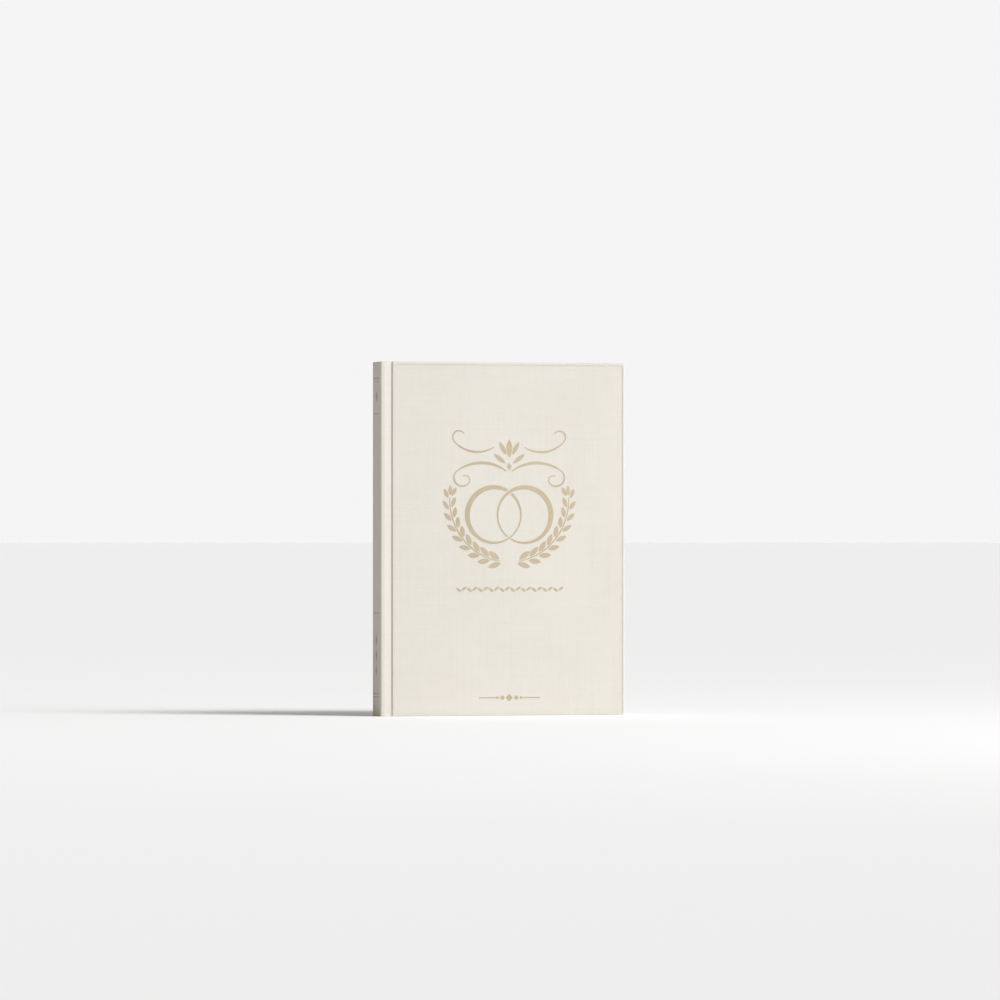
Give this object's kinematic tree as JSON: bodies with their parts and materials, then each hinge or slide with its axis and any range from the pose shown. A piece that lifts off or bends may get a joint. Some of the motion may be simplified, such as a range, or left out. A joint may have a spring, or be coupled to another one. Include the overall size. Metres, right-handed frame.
{
  "type": "guest book",
  "caption": "Case-bound guest book in pale linen cloth with gold foil ornament: covers hinge open on cloth joints and the leaves fan out.",
  "frame": {"origin": "middle of the tail edges that the closed book stands on, centred in width and thickness", "axes": "+X from the spine to the fore-edge, +Y from the front cover to the back cover, +Z from tail to head"},
  "size_m": [0.1768, 0.022, 0.246],
  "materials": {
    "cover_cloth": "matt off-white linen book cloth with slubs",
    "gold_foil": "matt pale-gold stamping foil",
    "leaf_paper": "smooth uncoated cream-white paper",
    "endpaper": "heavier uncoated endpaper",
    "greyboard": "raw grey board",
    "mull": "open starched cotton gauze",
    "lining_paper": "brown kraft lining paper",
    "linen_thread": "waxed linen thread",
    "band_cotton": "woven cotton cord"
  },
  "bodies": {
    "root": {"spine_board": "greyboard", "spine_cloth": "cover_cloth", "spine_foil": "gold_foil", "spine_lining": "lining_paper", "spine_mull": "mull", "sewing_thread": "linen_thread", "section_folds": "leaf_paper", "head_band": "band_cotton", "tail_band": "band_cotton"},
    "front_joint": {"front_joint_cloth": "cover_cloth"},
    "front_cover": {"front_board": "greyboard", "front_cover_cloth": "cover_cloth", "front_pastedown": "endpaper", "front_mull_flange": "mull", "front_emblem_foil": "gold_foil", "front_line_foil": "gold_foil", "front_foot_foil": "gold_foil"},
    "front_endleaf": {"front_flyleaf": "endpaper"},
    "back_joint": {"back_joint_cloth": "cover_cloth"},
    "back_cover": {"back_board": "greyboard", "back_cover_cloth": "cover_cloth", "back_pastedown": "endpaper", "back_mull_flange": "mull"},
    "back_endleaf": {"back_flyleaf": "endpaper"},
    "leaves_01": {"section_01": "leaf_paper"},
    "leaves_02": {"section_02": "leaf_paper"},
    "leaves_03": {"section_03": "leaf_paper"},
    "leaves_04": {"section_04": "leaf_paper"},
    "leaves_05": {"section_05": "leaf_paper"},
    "leaves_06": {"section_06": "leaf_paper"},
    "leaves_07": {"section_07": "leaf_paper"},
    "leaves_08": {"section_08": "leaf_paper"},
    "leaves_09": {"section_09": "leaf_paper"},
    "leaves_10": {"section_10": "leaf_paper"},
    "leaves_11": {"section_11": "leaf_paper"},
    "leaves_12": {"section_12": "leaf_paper"},
    "leaves_13": {"section_13": "leaf_paper"},
    "leaves_14": {"section_14": "leaf_paper"},
    "leaves_15": {"section_15": "leaf_paper"},
    "leaves_16": {"section_16": "leaf_paper"}
  },
  "joints": [
    {"name": "front_hinge", "type": "hinge", "parent": "root", "child": "front_joint", "pos_m": [-0.0853, -0.01077, 0.123], "axis": [0, 0, -1], "range_deg": [0, 100]},
    {"name": "front_board_fold", "type": "hinge", "parent": "front_joint", "child": "front_cover", "pos_m": [-0.0804, -0.00927, 0.123], "axis": [0, 0, -1], "range_deg": [0, 80]},
    {"name": "front_endleaf_turn", "type": "hinge", "parent": "root", "child": "front_endleaf", "pos_m": [-0.0826, -0.00742, 0.123], "axis": [0, 0, -1], "range_deg": [0, 87]},
    {"name": "leaves_01_turn", "type": "hinge", "parent": "root", "child": "leaves_01", "pos_m": [-0.0826, -0.00742, 0.123], "axis": [0, 0, -1], "range_deg": [0, 80]},
    {"name": "leaves_02_turn", "type": "hinge", "parent": "root", "child": "leaves_02", "pos_m": [-0.0826, -0.00742, 0.123], "axis": [0, 0, -1], "range_deg": [0, 71]},
    {"name": "leaves_03_turn", "type": "hinge", "parent": "root", "child": "leaves_03", "pos_m": [-0.0826, -0.00742, 0.123], "axis": [0, 0, -1], "range_deg": [0, 62]},
    {"name": "leaves_04_turn", "type": "hinge", "parent": "root", "child": "leaves_04", "pos_m": [-0.0826, -0.00742, 0.123], "axis": [0, 0, -1], "range_deg": [0, 53]},
    {"name": "leaves_05_turn", "type": "hinge", "parent": "root", "child": "leaves_05", "pos_m": [-0.0826, -0.00742, 0.123], "axis": [0, 0, -1], "range_deg": [0, 44]},
    {"name": "leaves_06_turn", "type": "hinge", "parent": "root", "child": "leaves_06", "pos_m": [-0.0826, -0.00742, 0.123], "axis": [0, 0, -1], "range_deg": [0, 35]},
    {"name": "leaves_07_turn", "type": "hinge", "parent": "root", "child": "leaves_07", "pos_m": [-0.0826, -0.00742, 0.123], "axis": [0, 0, -1], "range_deg": [0, 26]},
    {"name": "leaves_08_turn", "type": "hinge", "parent": "root", "child": "leaves_08", "pos_m": [-0.0826, -0.00742, 0.123], "axis": [0, 0, -1], "range_deg": [0, 17]},
    {"name": "back_hinge", "type": "hinge", "parent": "root", "child": "back_joint", "pos_m": [-0.0853, 0.01077, 0.123], "axis": [0, 0, 1], "range_deg": [0, 100]},
    {"name": "back_board_fold", "type": "hinge", "parent": "back_joint", "child": "back_cover", "pos_m": [-0.0804, 0.00927, 0.123], "axis": [0, 0, 1], "range_deg": [0, 80]},
    {"name": "back_endleaf_turn", "type": "hinge", "parent": "root", "child": "back_endleaf", "pos_m": [-0.0826, 0.00742, 0.123], "axis": [0, 0, 1], "range_deg": [0, 87]},
    {"name": "leaves_16_turn", "type": "hinge", "parent": "root", "child": "leaves_16", "pos_m": [-0.0826, 0.00742, 0.123], "axis": [0, 0, 1], "range_deg": [0, 80]},
    {"name": "leaves_15_turn", "type": "hinge", "parent": "root", "child": "leaves_15", "pos_m": [-0.0826, 0.00742, 0.123], "axis": [0, 0, 1], "range_deg": [0, 71]},
    {"name": "leaves_14_turn", "type": "hinge", "parent": "root", "child": "leaves_14", "pos_m": [-0.0826, 0.00742, 0.123], "axis": [0, 0, 1], "range_deg": [0, 62]},
    {"name": "leaves_13_turn", "type": "hinge", "parent": "root", "child": "leaves_13", "pos_m": [-0.0826, 0.00742, 0.123], "axis": [0, 0, 1], "range_deg": [0, 53]},
    {"name": "leaves_12_turn", "type": "hinge", "parent": "root", "child": "leaves_12", "pos_m": [-0.0826, 0.00742, 0.123], "axis": [0, 0, 1], "range_deg": [0, 44]},
    {"name": "leaves_11_turn", "type": "hinge", "parent": "root", "child": "leaves_11", "pos_m": [-0.0826, 0.00742, 0.123], "axis": [0, 0, 1], "range_deg": [0, 35]},
    {"name": "leaves_10_turn", "type": "hinge", "parent": "root", "child": "leaves_10", "pos_m": [-0.0826, 0.00742, 0.123], "axis": [0, 0, 1], "range_deg": [0, 26]},
    {"name": "leaves_09_turn", "type": "hinge", "parent": "root", "child": "leaves_09", "pos_m": [-0.0826, 0.00742, 0.123], "axis": [0, 0, 1], "range_deg": [0, 17]}
  ],
  "couplings": [
    {"joint": "front_board_fold", "follows": "front_hinge", "ratio": 0.8},
    {"joint": "front_endleaf_turn", "follows": "front_hinge", "ratio": 0.87},
    {"joint": "leaves_01_turn", "follows": "front_hinge", "ratio": 0.8},
    {"joint": "leaves_02_turn", "follows": "front_hinge", "ratio": 0.71},
    {"joint": "leaves_03_turn", "follows": "front_hinge", "ratio": 0.62},
    {"joint": "leaves_04_turn", "follows": "front_hinge", "ratio": 0.53},
    {"joint": "leaves_05_turn", "follows": "front_hinge", "ratio": 0.44},
    {"joint": "leaves_06_turn", "follows": "front_hinge", "ratio": 0.35},
    {"joint": "leaves_07_turn", "follows": "front_hinge", "ratio": 0.26},
    {"joint": "leaves_08_turn", "follows": "front_hinge", "ratio": 0.17},
    {"joint": "back_board_fold", "follows": "back_hinge", "ratio": 0.8},
    {"joint": "back_endleaf_turn", "follows": "back_hinge", "ratio": 0.87},
    {"joint": "leaves_16_turn", "follows": "back_hinge", "ratio": 0.8},
    {"joint": "leaves_15_turn", "follows": "back_hinge", "ratio": 0.71},
    {"joint": "leaves_14_turn", "follows": "back_hinge", "ratio": 0.62},
    {"joint": "leaves_13_turn", "follows": "back_hinge", "ratio": 0.53},
    {"joint": "leaves_12_turn", "follows": "back_hinge", "ratio": 0.44},
    {"joint": "leaves_11_turn", "follows": "back_hinge", "ratio": 0.35},
    {"joint": "leaves_10_turn", "follows": "back_hinge", "ratio": 0.26},
    {"joint": "leaves_09_turn", "follows": "back_hinge", "ratio": 0.17}
  ]
}
